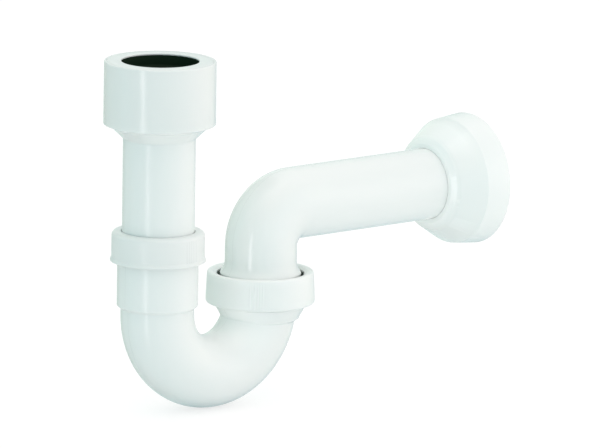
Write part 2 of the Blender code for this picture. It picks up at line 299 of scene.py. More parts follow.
# (mapping scale, offset, rotation) of the two sets of hairline scratches
SCRATCH_SETS = [
    ((900.0, 900.0, 60.0), (0.0, 0.0, 0.0), (0.0, 0.2, 0.15)),
    ((70.0, 1100.0, 800.0), (4.0, 2.8, 5.2), (0.3, 0.6, 0.15)),
]


def white_plastic(name, seam=False, flow_axis=2, painted_shading_scale=1.0, painted_shading_above=None,
                  painted_shading_span=3.0, gloss=(0.16, 0.22), dull_below=None):
    """Glossy injection-moulded polypropylene, slightly translucent.

    flow_axis is the direction in which the melt's cloudy tone is stretched.  seam adds the
    mould's parting line on the plane Y = 0.  painted_shading_scale scales the colour as
    painted shading, painted shade below 1 and painted light above 1, for how light falls on
    the part; it acts everywhere or only above the height painted_shading_above, fading in
    over painted_shading_span to either side.  gloss is the roughness range; below
    dull_below it is duller.
    """
    mat, nt, bsdf = new_material(name)
    coords = object_coords(nt)

    # cloudy tone, stretched along the flow direction
    stretch = [34.0, 34.0, 34.0]
    stretch[flow_axis] = 9.0
    clouds = noise(nt, mapping(nt, coords, Scale=stretch), scale=1.0, detail=4.0,
                   roughness=0.55)
    tone = mix_colour(nt, mapped(nt, clouds, span=(0.30, 0.70)),
                      (0.838, 0.873, 0.862), (0.852, 0.883, 0.872))

    # painted shade darkens the hollows and tints them green, a painted highlight lightens
    # the outer edges
    pointiness = nt.nodes.new("ShaderNodeNewGeometry").outputs["Pointiness"]
    edge_highlight = mapped(nt, pointiness, span=(0.50, 0.56))
    hollow_shade = mapped(nt, pointiness, span=(0.43, 0.495), to=(1.0, 0.0))
    tone = mix_colour(nt, math_node(nt, "MULTIPLY", edge_highlight, 0.55), tone,
                      (0.90, 0.93, 0.92))
    tone = mix_colour(nt, math_node(nt, "MULTIPLY", hollow_shade, 0.35), tone,
                      (0.62, 0.70, 0.68))
    # painted shading: the tone is scaled for how light falls on this part, everywhere or
    # only above a height
    painted_shading_tone = mix_colour(nt, 1.0, tone, (painted_shading_scale, painted_shading_scale, painted_shading_scale), blend="MULTIPLY")
    if painted_shading_above is not None:
        painted_shading_mask = mapped(nt, separate(nt, coords)["Z"],
                        span=((painted_shading_above - painted_shading_span) * MM,
                              (painted_shading_above + painted_shading_span) * MM))
        nt.links.new(painted_shading_mask, enabled(painted_shading_tone.node.inputs)[0])
    nt.links.new(painted_shading_tone, bsdf.inputs["Base Color"])

    # hairline scratches: very long thin noise in two directions
    scratch_sets = []
    for scale, offset, rotation in SCRATCH_SETS:
        vector = mapping(nt, coords, Scale=scale, Location=offset, Rotation=rotation)
        scratch_sets.append(mapped(nt, noise(nt, vector, scale=1.0, detail=2.0),
                                   span=(0.66, 0.74)))
    scratches = math_node(nt, "MAXIMUM", *scratch_sets)

    # roughness: mould polish, patches of finger dulling, scratches
    smudge = noise(nt, coords, scale=70.0, detail=5.0, roughness=0.6)
    rough = mapped(nt, smudge, span=(0.35, 0.68), to=gloss)
    rough = math_node(nt, "ADD", rough, math_node(nt, "MULTIPLY", scratches, 0.03))
    rough = math_node(nt, "ADD", rough, math_node(nt, "MULTIPLY", hollow_shade, 0.02))
    if dull_below is not None:
        lower = mapped(nt, separate(nt, coords)["Z"],
                       span=((dull_below - 3.0) * MM, (dull_below + 3.0) * MM),
                       to=(0.06, 0.0))
        rough = math_node(nt, "ADD", rough, lower)
    if gloss[1] < SATIN_GLOSS:
        rough = math_node(nt, "MINIMUM", rough, ROUGHNESS_CAP)
    nt.links.new(rough, bsdf.inputs["Roughness"])

    # bump: orange peel, slow waves, scratches and the parting line
    peel = noise(nt, coords, scale=420.0, detail=3.0)
    waves = noise(nt, coords, scale=45.0, detail=2.0, roughness=0.4)
    height = math_node(nt, "MULTIPLY", peel, 0.012)
    height = math_node(nt, "ADD", height, math_node(nt, "MULTIPLY", waves, 0.10))
    height = math_node(nt, "SUBTRACT", height,
                       math_node(nt, "MULTIPLY", scratches, 0.010))
    if seam:
        off = math_node(nt, "ABSOLUTE", separate(nt, coords)["Y"])
        line = mapped(nt, off, span=(0.00004, 0.00022), to=(1.0, 0.0))
        height = math_node(nt, "ADD", height, math_node(nt, "MULTIPLY", line, 0.10))
    add_bump(nt, bsdf, height, strength=0.8, distance=0.001)

    set_inputs(bsdf, {"IOR": 1.49, "Subsurface Weight": 0.12,
                      "Subsurface Radius": (0.0022, 0.0024, 0.0022),
                      "Subsurface Scale": 1.0})
    return mat


def black_rubber(name):
    """EPDM rubber: near black, satin, fine grain with pale bloom in patches."""
    mat, nt, bsdf = new_material(name)
    coords = object_coords(nt)
    bloom = noise(nt, coords, scale=160.0, detail=6.0, roughness=0.65)
    patches = mapped(nt, bloom, span=(0.52, 0.78), to=(0.0, 0.6))
    nt.links.new(mix_colour(nt, patches, (0.002, 0.015, 0.005), (0.007, 0.023, 0.012)),
                 bsdf.inputs["Base Color"])
    nt.links.new(mapped(nt, bloom, span=(0.35, 0.7), to=(0.52, 0.70)),
                 bsdf.inputs["Roughness"])
    set_inputs(bsdf, {"Specular IOR Level": 0.12})
    grain = noise(nt, coords, scale=1500.0, detail=3.0, roughness=0.6)
    add_bump(nt, bsdf, grain, strength=0.5, distance=0.0001)
    return mat


def milky_plastic(name):
    """Natural polyethylene for the slip washers: waxy, cloudy, faintly warm."""
    mat, nt, bsdf = new_material(name)
    coords = object_coords(nt)
    clouds = noise(nt, coords, scale=90.0, detail=4.0, roughness=0.6)
    cloudy = mapped(nt, clouds, span=(0.35, 0.65))
    nt.links.new(mix_colour(nt, cloudy, (0.70, 0.71, 0.67), (0.80, 0.81, 0.78)),
                 bsdf.inputs["Base Color"])
    nt.links.new(mapped(nt, clouds, span=(0.35, 0.65), to=(0.34, 0.48)),
                 bsdf.inputs["Roughness"])
    grain = noise(nt, coords, scale=700.0, detail=2.0)
    add_bump(nt, bsdf, grain, strength=0.4, distance=0.0001)
    set_inputs(bsdf, {"Subsurface Weight": 0.2,
                      "Subsurface Radius": (0.002, 0.002, 0.0018)})
    return mat


# painted light: a warm emission that makes a patch of plastic glow
def add_painted_glow(nt, strength):
    bsdf = nt.nodes["Principled BSDF"]
    nt.links.new(strength, bsdf.inputs["Emission Strength"])
    set_inputs(bsdf, {"Emission Color": (1.0, 0.93, 0.90, 1.0)})


def painted_glow_near(mat, centre, radius, strength):
    """Painted light: an emission glow round the centre, fading out at the radius, brightens
    the plastic between two close walls that shade each other.
    """
    nt = mat.node_tree
    away = vector_node(nt, "DISTANCE", object_coords(nt), [v * MM for v in centre])
    add_painted_glow(nt, mapped(nt, away, span=(radius * MM, 0.25 * radius * MM),
                        to=(0.0, strength), smooth=True))
    return mat


def painted_rosette_glow(mat, strength):
    """Painted light: emission makes the rosette's nose and its upper, far side glow,
    standing in for light that falls there.
    """
    nt = mat.node_tree
    place = separate(nt, object_coords(nt))
    rise = math_node(nt, "ADD", place["Z"], math_node(nt, "MULTIPLY", place["Y"], 0.35))
    upper = mapped(nt, rise, span=((Z_PIPE + 8.0) * MM, (Z_PIPE + 25.0) * MM))
    ahead = mapped(nt, place["X"], span=((X_NOSE + 12.0) * MM, (X_NOSE + 17.0) * MM),
                   to=(1.0, 0.0))
    nose = mapped(nt, place["X"], span=((X_NOSE + 0.3) * MM, (X_NOSE + 3.5) * MM),
                  to=(1.0, 0.0))
    amount = math_node(nt, "MAXIMUM", math_node(nt, "MULTIPLY", upper, ahead), nose)
    add_painted_glow(nt, math_node(nt, "MULTIPLY", amount, strength))
    return mat


# The white materials are copies of one plastic that differ by painted shading: the socket
# and the small nut are darkened as painted shade, and the pipe, the union nut and the upper
# rosette are lightened as painted light; the bend and the rosette also carry painted glows.
TUBE_WHITE = white_plastic("white_pp_tube", painted_shading_scale=0.945, painted_shading_above=SOCKET_FOOT_Z,
                           dull_below=157.0)
# painted light: an emission glow under the outlet cone, where the bend's walls shade each
# other
MOULD_WHITE = painted_glow_near(white_plastic("white_pp_moulded", seam=True, gloss=(0.23, 0.25)),
                        centre=(X_OUT - 18.0, -9.0, 48.0), radius=24.0, strength=0.095)
PIPE_WHITE = white_plastic("white_pp_pipe", seam=True, flow_axis=0, painted_shading_scale=1.012,
                           gloss=(0.13, 0.18))
NUT1_WHITE = white_plastic("white_pp_small_nut", painted_shading_scale=0.945, gloss=(0.30, 0.37))
NUT2_WHITE = white_plastic("white_pp_union_nut", painted_shading_scale=1.015, gloss=(0.30, 0.37))
# painted light on the rosette: its upper part is lightened, and its nose and upper, far
# side glow
ROSETTE_WHITE = painted_rosette_glow(
    white_plastic("white_pp_rosette", flow_axis=0, painted_shading_scale=1.035,
                  painted_shading_above=Z_PIPE - 24.0, painted_shading_span=10.0), strength=0.08)
RUBBER = black_rubber("epdm_rubber")
MILKY = milky_plastic("natural_pe")


# ------------------------------------------------------------------ nuts
GRIP_PATCHES, RIBS_PER_PATCH = 3, 6


def grip_ribs(theta, z, grip):
    """Height of groups of upright grip ribs with rounded tops."""
    out = np.zeros(np.broadcast(theta, z).shape)
    for patch in range(GRIP_PATCHES):
        for k in range(RIBS_PER_PATCH):
            rib = math.radians(grip["bearing"] + 360.0 / GRIP_PATCHES * patch
                               + grip["step"] * (k - (RIBS_PER_PATCH - 1) / 2.0))
            off = np.degrees(np.abs(np.mod(theta - rib + math.pi, TAU) - math.pi))
            out = np.maximum(out, smooth01((grip["half"] - off) / (grip["half"] * 0.7)))
    ends = smooth01((z - grip["z_low"]) / 0.7) * smooth01((grip["z_high"] - z) / 1.2)
    return out * ends * grip["height"]


def nut_angles(grip):
    """Angles round a nut, closely spaced over the grip ribs."""
    angles = []
    patch_pitch = 360.0 / GRIP_PATCHES
    half_span = grip["half_span"]
    rest = patch_pitch - 2.0 * half_span
    count = int(round(rest / 2.2))
    for patch in range(GRIP_PATCHES):
        centre = grip["bearing"] + patch_pitch * patch
        angles.extend(np.arange(centre - half_span, centre + half_span - 1e-6,
                                grip["fine"]))
        angles.extend(centre + half_span + rest * np.arange(count) / count)
    return np.radians(np.mod(np.array(sorted(np.mod(angles, 360.0))), 360.0))


def add_nut(part, body, material, x, outline, *, bore_r, rib_floor_r, thread_start,
            ridge, grip):
    """Nut with an inner thread; ribs stand on the walls outside rib_floor_r."""
    def shape(theta, r, z):
        if r > rib_floor_r:
            return r + grip_ribs(theta, z, grip)
        if abs(r - bore_r) < 0.05:
            return r - thread_ridge(theta, z, thread_start, math.pi, ridge)
        return r

    profile = refine(fillet(outline), bore_r, thread_start)
    add_piece(part, body, turned(profile, x, nut_angles(grip), shape), material)


# ------------------------------------------------------------------ inlet leg
# Outlines of turned pieces list (r, z, corner radius).
# Tube and push-in socket: a softly rounded rim, straight wall, a flat chamfer
# and a steep cone down to the tube.
TUBE_OUTLINE = [
    (29.32, Z_RIM, 0.15), (30.8, Z_RIM, 0.8), (30.9, SOCKET_FOOT_Z, 0.6),
    (26.5, 161.7, 0.8), (20.0, 155.4, 2.2), (20.0, 74.2, 0.4), (19.2, 73.0, 0.2),
    (18.1, 73.0, 0.2), (18.1, 155.6, 2.0), (20.6, 160.8, 2.0), (21.0, 163.6, 0.3),
    (28.3, 164.6, 0.5), (28.3, 194.2, 0.15), (29.32, 194.9, 0.15)]
add_piece("inlet_tube", "inlet", turned(fillet(TUBE_OUTLINE), X_IN, even_angles(224)),
          TUBE_WHITE)


def lip_seal_outline():
    """Three thin lips that lean down into the socket, with a grooved outer wall."""
    wall_r, groove_r, inner_r = 27.9, 27.4, 21.4
    groove_top, groove_pitch = 191.5, 3.3
    points = [(wall_r, 193.9, 0.3)]
    for k in range(8):
        z = groove_top - groove_pitch * k
        points += [(wall_r, z, 0.15), (groove_r, z - 0.5, 0.2), (groove_r, z - 1.2, 0.2),
                   (wall_r, z - 1.7, 0.15)]
    points += [(wall_r, 165.0, 0.3), (inner_r, 165.0, 0.4)]
    # height and tip radius of each lip
    for low, tip_r in ((171.2, 17.2), (180.2, 18.0), (189.4, 18.9)):
        points += [(inner_r, low + 0.6, 0.5), (tip_r + 0.2, low - 1.2, 0.25),
                   (tip_r, low - 0.2, 0.3), (inner_r, low + 2.9, 0.7)]
    return points + [(21.45, 197.4, 0.2), (22.3, 197.35, 0.2), (23.15, 193.9, 0.2)]


add_piece("inlet_lip_seal", "inlet",
          turned(fillet(lip_seal_outline(), 3), X_IN, even_angles(160)),
          RUBBER)

# Retaining ring: flush with the rim, bevelled into the mouth.
RETAINER_OUTLINE = [
    (29.24, Z_RIM, 0.12), (29.24, 195.1, 0.1), (28.2, 194.35, 0.1), (23.55, 194.35, 0.2),
    (22.85, 197.45, 0.2), (21.45, 197.65, 0.12), (21.45, Z_RIM, 0.3)]
add_piece("seal_retaining_ring", "inlet",
          turned(fillet(RETAINER_OUTLINE), X_IN, even_angles(192)), TUBE_WHITE)

# Compression nut: rounded shoulder, grip ribs, bead at the lower edge, thread inside.
NUT1_BORE_R = 24.3
NUT1_OUTLINE = [
    (20.4, 103.6, 0.3), (25.65, 103.55, 2.4), (25.72, 89.3, 1.0), (26.4, 88.0, 0.5),
    (26.4, 86.9, 0.45), (24.65, 86.9, 0.2), (NUT1_BORE_R, 87.4, 0.2),
    (NUT1_BORE_R, 100.4, 0.4), (20.4, 100.4, 0.2)]
# Grips: degrees for the first patch's bearing, the rib step, half a rib's width, half
# the finely divided span and its step; millimetres for height, z_low and z_high.
NUT1_GRIP = dict(bearing=-80.5, step=3.4, half=1.15, height=0.20, z_low=89.0,
                 z_high=101.6, half_span=11.4, fine=0.38)
add_nut("inlet_compression_nut", "inlet_nut", NUT1_WHITE, X_IN, NUT1_OUTLINE,
        bore_r=NUT1_BORE_R, rib_floor_r=25.0, thread_start=THREAD1_START, ridge=1.15,
        grip=NUT1_GRIP)

WASHER_OUTLINE = [(23.6, 100.0, 0.25), (23.6, 98.9, 0.25), (20.5, 98.9, 0.2),
                  (20.5, 100.0, 0.2)]
add_piece("inlet_slip_washer", "inlet_nut_lift",
          turned(fillet(WASHER_OUTLINE, 3), X_IN, even_angles(128)), MILKY)

CONE_SEAL_OUTLINE = [
    (22.5, 98.5, 0.3), (22.5, 96.1, 0.3), (21.25, 95.8, 0.2), (21.0, 93.4, 0.1),
    (20.9, 91.0, 0.2), (20.3, 91.0, 0.15), (20.3, 92.6, 0.2), (20.55, 93.0, 0.2),
    (20.55, 93.8, 0.2), (20.3, 94.2, 0.2), (20.3, 98.5, 0.3)]
add_piece("inlet_cone_seal", "seal_carrier",
          turned(fillet(CONE_SEAL_OUTLINE, 3), X_IN, even_angles(128)),
          RUBBER)


# ------------------------------------------------------------------ U bend
BEND_ANGLES = even_angles(192)
MOUTH_R = 22.4                             # threaded wall of the inlet mouth
COLLAR_R = 25.5                            # threaded wall of the outlet socket
SOCKET_BORE_R = 20.5
# Where the sections along the bend have turned level, below the conical socket.
OUT_LEVEL = 44.4
PHI_LEVEL = math.pi - math.asin((Z_BEND - OUT_LEVEL) / BEND_R)

# Mouth of the inlet leg, outside going down and inside going up.
MOUTH_OUTSIDE = [(21.62, 95.5, 0.12), (MOUTH_R, 95.5, 0.3), (MOUTH_R, 62.0, 0.5),
                 (BEND_TUBE_R, 60.2, 0.9), (BEND_TUBE_R, Z_BEND + 0.5)]
MOUTH_INSIDE = [(BEND_BORE_R, Z_BEND), (BEND_BORE_R, 61.0, 0.4), (20.4, 62.3, 0.4),
                (20.4, 90.0, 0.3), (21.3, 90.6, 0.3), (21.62, 95.5)]
# Conical socket of the outlet leg, going up, and the lip at its top.
CONE_OUTLINE = [(19.6, 45.0), (21.75, 46.55, 0.45), (22.1, 47.6, 1.2),
                (25.4, 53.6, 1.2), (COLLAR_R, 66.2)]
LIP_OUTLINE = [(COLLAR_R, 63.5), (COLLAR_R, 65.2, 0.4), (21.55, 65.2, 0.15),
               (SOCKET_BORE_R, 64.2, 0.3), (SOCKET_BORE_R, 52.0)]
# (r, z) of the socket's walls; the small first radii leave the bend unchanged there.
CONE_WALL = [(0.5, OUT_LEVEL - 5.0), (17.0, 44.6), *fillet(CONE_OUTLINE),
             (COLLAR_R, 70.0)]
BORE_WALL = [(0.5, 30.0), (16.5, 49.0), (18.2, 49.4), (20.0, 50.2),
             (SOCKET_BORE_R, 50.6), (SOCKET_BORE_R, 80.0)]
# Heights of the level rings, up the outside and down the bore.
OUTSIDE_HEIGHTS = [
    44.7, 45.0, 45.3, 45.6, 45.9, 46.1, 46.25, 46.4, 46.5, 46.6, 46.7, 46.85, 47.0,
    47.3, 47.6, 48.0, 49.0, 50.5, 52.0, 52.8, 53.2, 53.6, 54.0, 54.6,
    *np.arange(55.0, 62.6, 0.16), 63.4, 64.3]
BORE_HEIGHTS = [
    *np.arange(62.6, 51.0, -1.5), 50.8, 50.6, 50.4, 50.2, 50.0, 49.8, 49.6, 49.4, 49.2,
    49.0, 48.5, 47.5, 46.5, 45.5, 44.7]


def bend_centre(phi):
    """Centre line at angle phi along the bend (0 at the inlet, pi at the outlet)."""
    return np.array([X_BEND - BEND_R * math.cos(phi), 0.0, Z_BEND - BEND_R * math.sin(phi)])


def bend_stations(step_deg):
    """(centre, tilt) pairs along the bend, turning level before the cone begins."""
    out = []
    half_way = math.pi / 2.0
    count = int(math.degrees(PHI_LEVEL) / step_deg)
    for i in range(1, count + 1):
        phi = PHI_LEVEL * i / count
        extra = (math.pi - PHI_LEVEL) * smooth01((phi - half_way) / (PHI_LEVEL - half_way))
        out.append((bend_centre(phi), phi + extra))
    return out


def leg_centre(z):
    """Centre of the outlet leg's level section at height z."""
    if z >= Z_BEND:
        return np.array([X_OUT, 0.0, z])
    return bend_centre(math.pi - math.asin((Z_BEND - z) / BEND_R))


def pipe_distance(points, radius):
    """Distance from the bent waste tube's skin, negative inside."""
    x, y, z = points.T
    below = np.hypot(np.hypot(x - X_BEND, z - Z_BEND) - BEND_R, y)
    above = np.minimum(np.hypot(x - X_IN, y), np.hypot(x - X_OUT, y))
    return np.where(z < Z_BEND, below, above) - radius


def bisect(distance, reach):
    """Sign change of distance(t), negative inside, along each ray up to reach."""
    low = np.zeros(len(BEND_ANGLES))
    high = low + reach
    for _ in range(34):
        middle = 0.5 * (low + high)
        inside = distance(middle) < 0.0
        low = np.where(inside, middle, low)
        high = np.where(inside, high, middle)
    return 0.5 * (low + high)


def soft_max(a, b, blend):
    h = np.clip(0.5 + 0.5 * (a - b) / blend, 0.0, 1.0)
    return b + (a - b) * h + blend * h * (1.0 - h)


def section(centre, tilt, radius, wall=None, blend=None):
    """One ring of points.  Tilt 0 is level with travel down, pi level going up.

    A wall of (r, z) about the outlet axis is blended with the tube where it is wider.
    """
    outward = np.array([math.cos(tilt), 0.0, math.sin(tilt)])
    across = np.array([0.0, 1.0, 0.0])
    rays = np.cos(BEND_ANGLES)[:, None] * outward + np.sin(BEND_ANGLES)[:, None] * across

    def from_tube(t):
        return pipe_distance(centre + t[:, None] * rays, radius)

    # a level cut through the bend is long on its inner side, so the ray is capped
    t = bisect(from_tube, radius * 1.5)
    if wall is not None:
        wall_r, wall_z = np.array(wall).T

        def from_wall(t):
            p = centre + t[:, None] * rays
            return np.hypot(p[:, 0] - X_OUT, p[:, 1]) - np.interp(p[:, 2], wall_z, wall_r)

        t = soft_max(bisect(from_wall, 45.0), t, blend)
    return centre + t[:, None] * rays


def mouth_shape(theta, r, z):
    if abs(r - MOUTH_R) < 0.05:
        return r + thread_ridge(theta, z, THREAD1_START, 0.0, 1.28)
    return r


def threaded_collar(z):
    """Outer ring of the outlet leg at height z, with its thread."""
    points = section(leg_centre(z), math.pi, BEND_TUBE_R, CONE_WALL, blend=0.35)
    radius = np.hypot(points[:, 0] - X_OUT, points[:, 1])
    theta = np.arctan2(points[:, 1], points[:, 0] - X_OUT)
    ridge = thread_ridge(theta, z, THREAD2_START, 0.0, 1.33)
    return level_ring(X_OUT, radius + ridge, z, theta)


def trap_rings():
    """Rings from the inlet mouth along the outside to the outlet, and back inside."""
    mouth = refine(fillet(MOUTH_OUTSIDE)[:-1], MOUTH_R, THREAD1_START)
    rings = turned(mouth, X_IN, BEND_ANGLES, mouth_shape)
    rings.append(section(np.array([X_IN, 0.0, Z_BEND + 0.2]), 0.0, BEND_TUBE_R))
    rings += [section(centre, tilt, BEND_TUBE_R) for centre, tilt in bend_stations(2.0)]
    rings += [threaded_collar(z) for z in OUTSIDE_HEIGHTS]
    # the sections are level going up here, so their angles run the other way round
    rings += turned(fillet(LIP_OUTLINE)[1:-1], X_OUT, math.pi - BEND_ANGLES)
    rings += [section(leg_centre(z), math.pi, BEND_BORE_R, BORE_WALL, blend=0.25)
              for z in BORE_HEIGHTS]
    rings += [section(centre, tilt, BEND_BORE_R)
              for centre, tilt in reversed(bend_stations(3.0))]
    return rings + turned(fillet(MOUTH_INSIDE)[:-1], X_IN, BEND_ANGLES)


add_piece("trap_bend", "trap", trap_rings(), MOULD_WHITE)


# ------------------------------------------------------------------ outlet union
NUT2_BORE_R = 27.6
NUT2_OUTLINE = [
    (24.3, 71.35, 0.3), (26.9, 72.65, 1.2), (29.65, 72.6, 1.3), (29.85, 68.0, 1.5),
    (30.32, 58.5, 2.0), (30.3, 55.1, 1.7), (27.95, 55.1, 0.25),
    (NUT2_BORE_R, 55.7, 0.25), (NUT2_BORE_R, 69.9, 0.5), (24.3, 69.9, 0.2)]
NUT2_GRIP = dict(bearing=-132.7, step=2.8, half=1.0, height=0.15, z_low=56.2,
                 z_high=70.6, half_span=10.2, fine=0.34)
add_nut("outlet_union_nut", "outlet_nut", NUT2_WHITE, X_OUT, NUT2_OUTLINE,
        bore_r=NUT2_BORE_R, rib_floor_r=28.9, thread_start=THREAD2_START, ridge=1.25,
        grip=NUT2_GRIP)

SLIP_RING_OUTLINE = [(26.8, 69.5, 0.2), (26.8, 68.6, 0.2), (24.6, 68.6, 0.2),
                     (24.6, 69.5, 0.2)]
add_piece("outlet_slip_ring", "outlet_nut_lift",
          turned(fillet(SLIP_RING_OUTLINE, 3), X_OUT, even_angles(128)),
          MILKY)

GASKET_OUTLINE = [
    (25.7, 68.2, 0.3), (25.7, 65.6, 0.4), (21.0, 65.6, 0.4), (20.3, 66.3, 0.3),
    (20.3, 68.85, 0.2), (22.95, 68.85, 0.15), (22.98, 70.9, 0.2), (23.95, 70.9, 0.15),
    (23.7, 68.85, 0.15), (24.1, 68.85, 0.2), (24.35, 68.25, 0.1)]
add_piece("outlet_gasket", "outlet",
          turned(fillet(GASKET_OUTLINE, 3), X_OUT, even_angles(144)),
          RUBBER)


# ------------------------------------------------------------------ outlet pipe
PIPE_ANGLES = even_angles(200)
FLANGE_OUT = 2.6                           # how far the flange stands off the pipe
FLANGE_R = PIPE_R + FLANGE_OUT
# Spigot and flange, with a flared neck above the flange; (r, z, corner radius).
SPIGOT_OUTLINE = [
    (PIPE_BORE_R, 52.0, 0.2), (19.3, 52.0, 0.3), (PIPE_R, 53.4, 0.5), (PIPE_R, 69.2, 0.2),
    (FLANGE_R, 69.2, 0.35), (FLANGE_R, 71.6, 0.4),
    *[(PIPE_R + FLANGE_OUT * (1.0 - t) ** 2.6, 71.9 + 7.6 * t)
      for t in np.linspace(0.05, 1.0, 14)],
    (PIPE_R, Z_PIPE - ELBOW_R - 0.3)]
# (x, r) of the level pipe, out to its rounded end and back along the bore
LEVEL_STATIONS = [
    *[(X_OUT + ELBOW_R + 20.0 + 18.0 * i, PIPE_R) for i in range(7)],
    (X_END - 0.6, PIPE_R), (X_END - 0.18, 19.88), (X_END, 19.5), (X_END, 18.5),
    (X_END - 0.15, 18.2), (X_END - 0.5, PIPE_BORE_R),
    *[(X_END - 12.0 - 18.0 * i, PIPE_BORE_R) for i in range(7)]]


def pipe_ring(centre, outward, radius):
    across = np.array([0.0, 1.0, 0.0])
    return (centre + radius * (np.cos(PIPE_ANGLES)[:, None] * outward
                               + np.sin(PIPE_ANGLES)[:, None] * across))


def upright_ring(radius, z):
    return pipe_ring(np.array([X_OUT, 0.0, z]), np.array([-1.0, 0.0, 0.0]), radius)


def elbow_rings(radius, step_deg):
    """Rings round the elbow, from the upright leg to the level pipe."""
    elbow_centre = np.array([X_OUT + ELBOW_R, 0.0, Z_PIPE - ELBOW_R])
    out = []
    count = int(90.0 / step_deg)
    for i in range(count + 1):
        turn = math.radians(90.0 * i / count)
        outward = np.array([-math.cos(turn), 0.0, math.sin(turn)])
        out.append(pipe_ring(elbow_centre + ELBOW_R * outward, outward, radius))
    return out


def pipe_rings():
    up = np.array([0.0, 0.0, 1.0])
    rings = [upright_ring(r, z) for r, z in fillet(SPIGOT_OUTLINE)[:-1]]
    rings += elbow_rings(PIPE_R, 2.0)
    rings += [pipe_ring(np.array([x, 0.0, Z_PIPE]), up, r) for x, r in LEVEL_STATIONS]
    rings += elbow_rings(PIPE_BORE_R, 3.0)[::-1]
    rings += [upright_ring(PIPE_BORE_R, z) for z in (82.0, 74.0, 66.0, 58.0)]
    # the rings run up the outside and down the bore, so the faces are turned
    return np.array(rings)[:, ::-1]


add_piece("outlet_elbow_pipe", "outlet", pipe_rings(), PIPE_WHITE)


# ------------------------------------------------------------------ wall rosette
# (r, x, corner radius), turned about the level pipe's axis
ROSETTE_OUTLINE = [
    (37.0, X_WALL - 0.3, 0.3), (35.5, X_NOSE + 17.0, 0.4), (27.3, X_NOSE + 3.8, 1.6),
    (25.9, X_NOSE + 2.2, 1.6), (22.6, X_NOSE + 0.1, 0.9), (20.13, X_NOSE, 0.25),
    (20.2, X_NOSE + 1.9, 0.3), (25.4, X_NOSE + 4.0, 0.6), (26.3, X_NOSE + 5.5, 0.6),
    (33.0, X_NOSE + 17.4, 0.8), (33.7, X_NOSE + 18.7, 0.6), (35.4, X_WALL - 0.3, 0.25)]


def rosette_rings():
    angles = even_angles(224)
    return [np.stack([np.full_like(angles, x), r * np.cos(angles),
                      Z_PIPE + r * np.sin(angles)], -1)
            for r, x in fillet(ROSETTE_OUTLINE)]


add_piece("wall_rosette", "rosette", rosette_rings(), ROSETTE_WHITE)


# ------------------------------------------------------------------ floor
scene = bpy.context.scene
scene.view_settings.view_transform = "Standard"
scene.view_settings.look = "None"

FLOOR_HALF = 6.0                           # metres
FLOOR_DROP = 0.0002                        # metres
FLOOR_SHADE = (0.30, 0.30, 0.30, 1.0)      # how strongly the camera sees shadows
FLOOR_LIFT = (0.74, 0.74, 0.74, 1.0)       # glow that lifts the seen floor to white


def floor_material():
    """The camera sees the floor lifted towards white, with a faint contact shadow;
    the object sees it as a plain matt sheet."""
    mat, nt, bsdf = new_material("pale_floor")
    paper = noise(nt, object_coords(nt), scale=60.0, detail=3.0)
    nt.links.new(mix_colour(nt, mapped(nt, paper), (0.93, 0.93, 0.93),
                            (0.95, 0.95, 0.95)), bsdf.inputs["Base Color"])
    set_inputs(bsdf, {"Roughness": 0.9, "Specular IOR Level": 0.1})
    seen = nt.nodes.new("ShaderNodeBsdfDiffuse")
    set_inputs(seen, {"Color": FLOOR_SHADE})
    lift = nt.nodes.new("ShaderNodeEmission")
    set_inputs(lift, {"Color": FLOOR_LIFT})
    both = nt.nodes.new("ShaderNodeAddShader")
    nt.links.new(seen.outputs[0], both.inputs[0])
    nt.links.new(lift.outputs[0], both.inputs[1])
    light_path = nt.nodes.new("ShaderNodeLightPath")
    choose = nt.nodes.new("ShaderNodeMixShader")
    nt.links.new(light_path.outputs["Is Camera Ray"], choose.inputs["Fac"])
    nt.links.new(bsdf.outputs[0], choose.inputs[1])
    nt.links.new(both.outputs[0], choose.inputs[2])
    nt.links.new(choose.outputs[0], nt.nodes["Material Output"].inputs["Surface"])
    return mat


def add_floor():
    mesh = bpy.data.meshes.new("floor")
    corners = [(sx * FLOOR_HALF, sy * FLOOR_HALF, 0)
               for sx, sy in ((-1, -1), (1, -1), (1, 1), (-1, 1))]
    mesh.from_pydata(corners, [], [(0, 1, 2, 3)])
    floor = bpy.data.objects.new("floor", mesh)
    floor.location.z = -FLOOR_DROP
    floor.visible_glossy = False
    mesh.materials.append(floor_material())
    scene.collection.objects.link(floor)


add_floor()

# ------------------------------------------------------------------ camera
# Long lens, seen from the front left and a little above.
ELEVATION = math.radians(11.54)
AZIMUTH = math.radians(39.08)
ROLL = math.radians(-0.9)
# Centre of the inlet rim from the eye, along the camera's own axes.
RIM_RIGHT, RIM_UP, RIM_AHEAD = -76.38308, 89.41809, 4753.43
RIGHT = Vector((math.cos(AZIMUTH), -math.sin(AZIMUTH), 0.0))


def add_camera():
    upward = Vector((math.sin(AZIMUTH) * math.sin(ELEVATION),
                     math.cos(AZIMUTH) * math.sin(ELEVATION), math.cos(ELEVATION)))
    ahead = Vector((math.sin(AZIMUTH) * math.cos(ELEVATION),
                    math.cos(AZIMUTH) * math.cos(ELEVATION), -math.sin(ELEVATION)))
    cam_right = math.cos(ROLL) * RIGHT - math.sin(ROLL) * upward
    cam_up = math.sin(ROLL) * RIGHT + math.cos(ROLL) * upward
    eye = (Vector((X_IN, 0.0, Z_RIM))
           - (RIM_RIGHT * cam_right + RIM_UP * cam_up + RIM_AHEAD * ahead)) * MM
    data = bpy.data.cameras.new("camera")
    data.sensor_width = 36.0
    data.lens = 521.4
    data.clip_start = 0.05
    data.clip_end = 100.0
    camera = bpy.data.objects.new("camera", data)
    matrix = Matrix((cam_right, cam_up, -ahead)).transposed().to_4x4()
    matrix.translation = eye
    camera.matrix_world = matrix
    scene.collection.objects.link(camera)
    scene.camera = camera


add_camera()

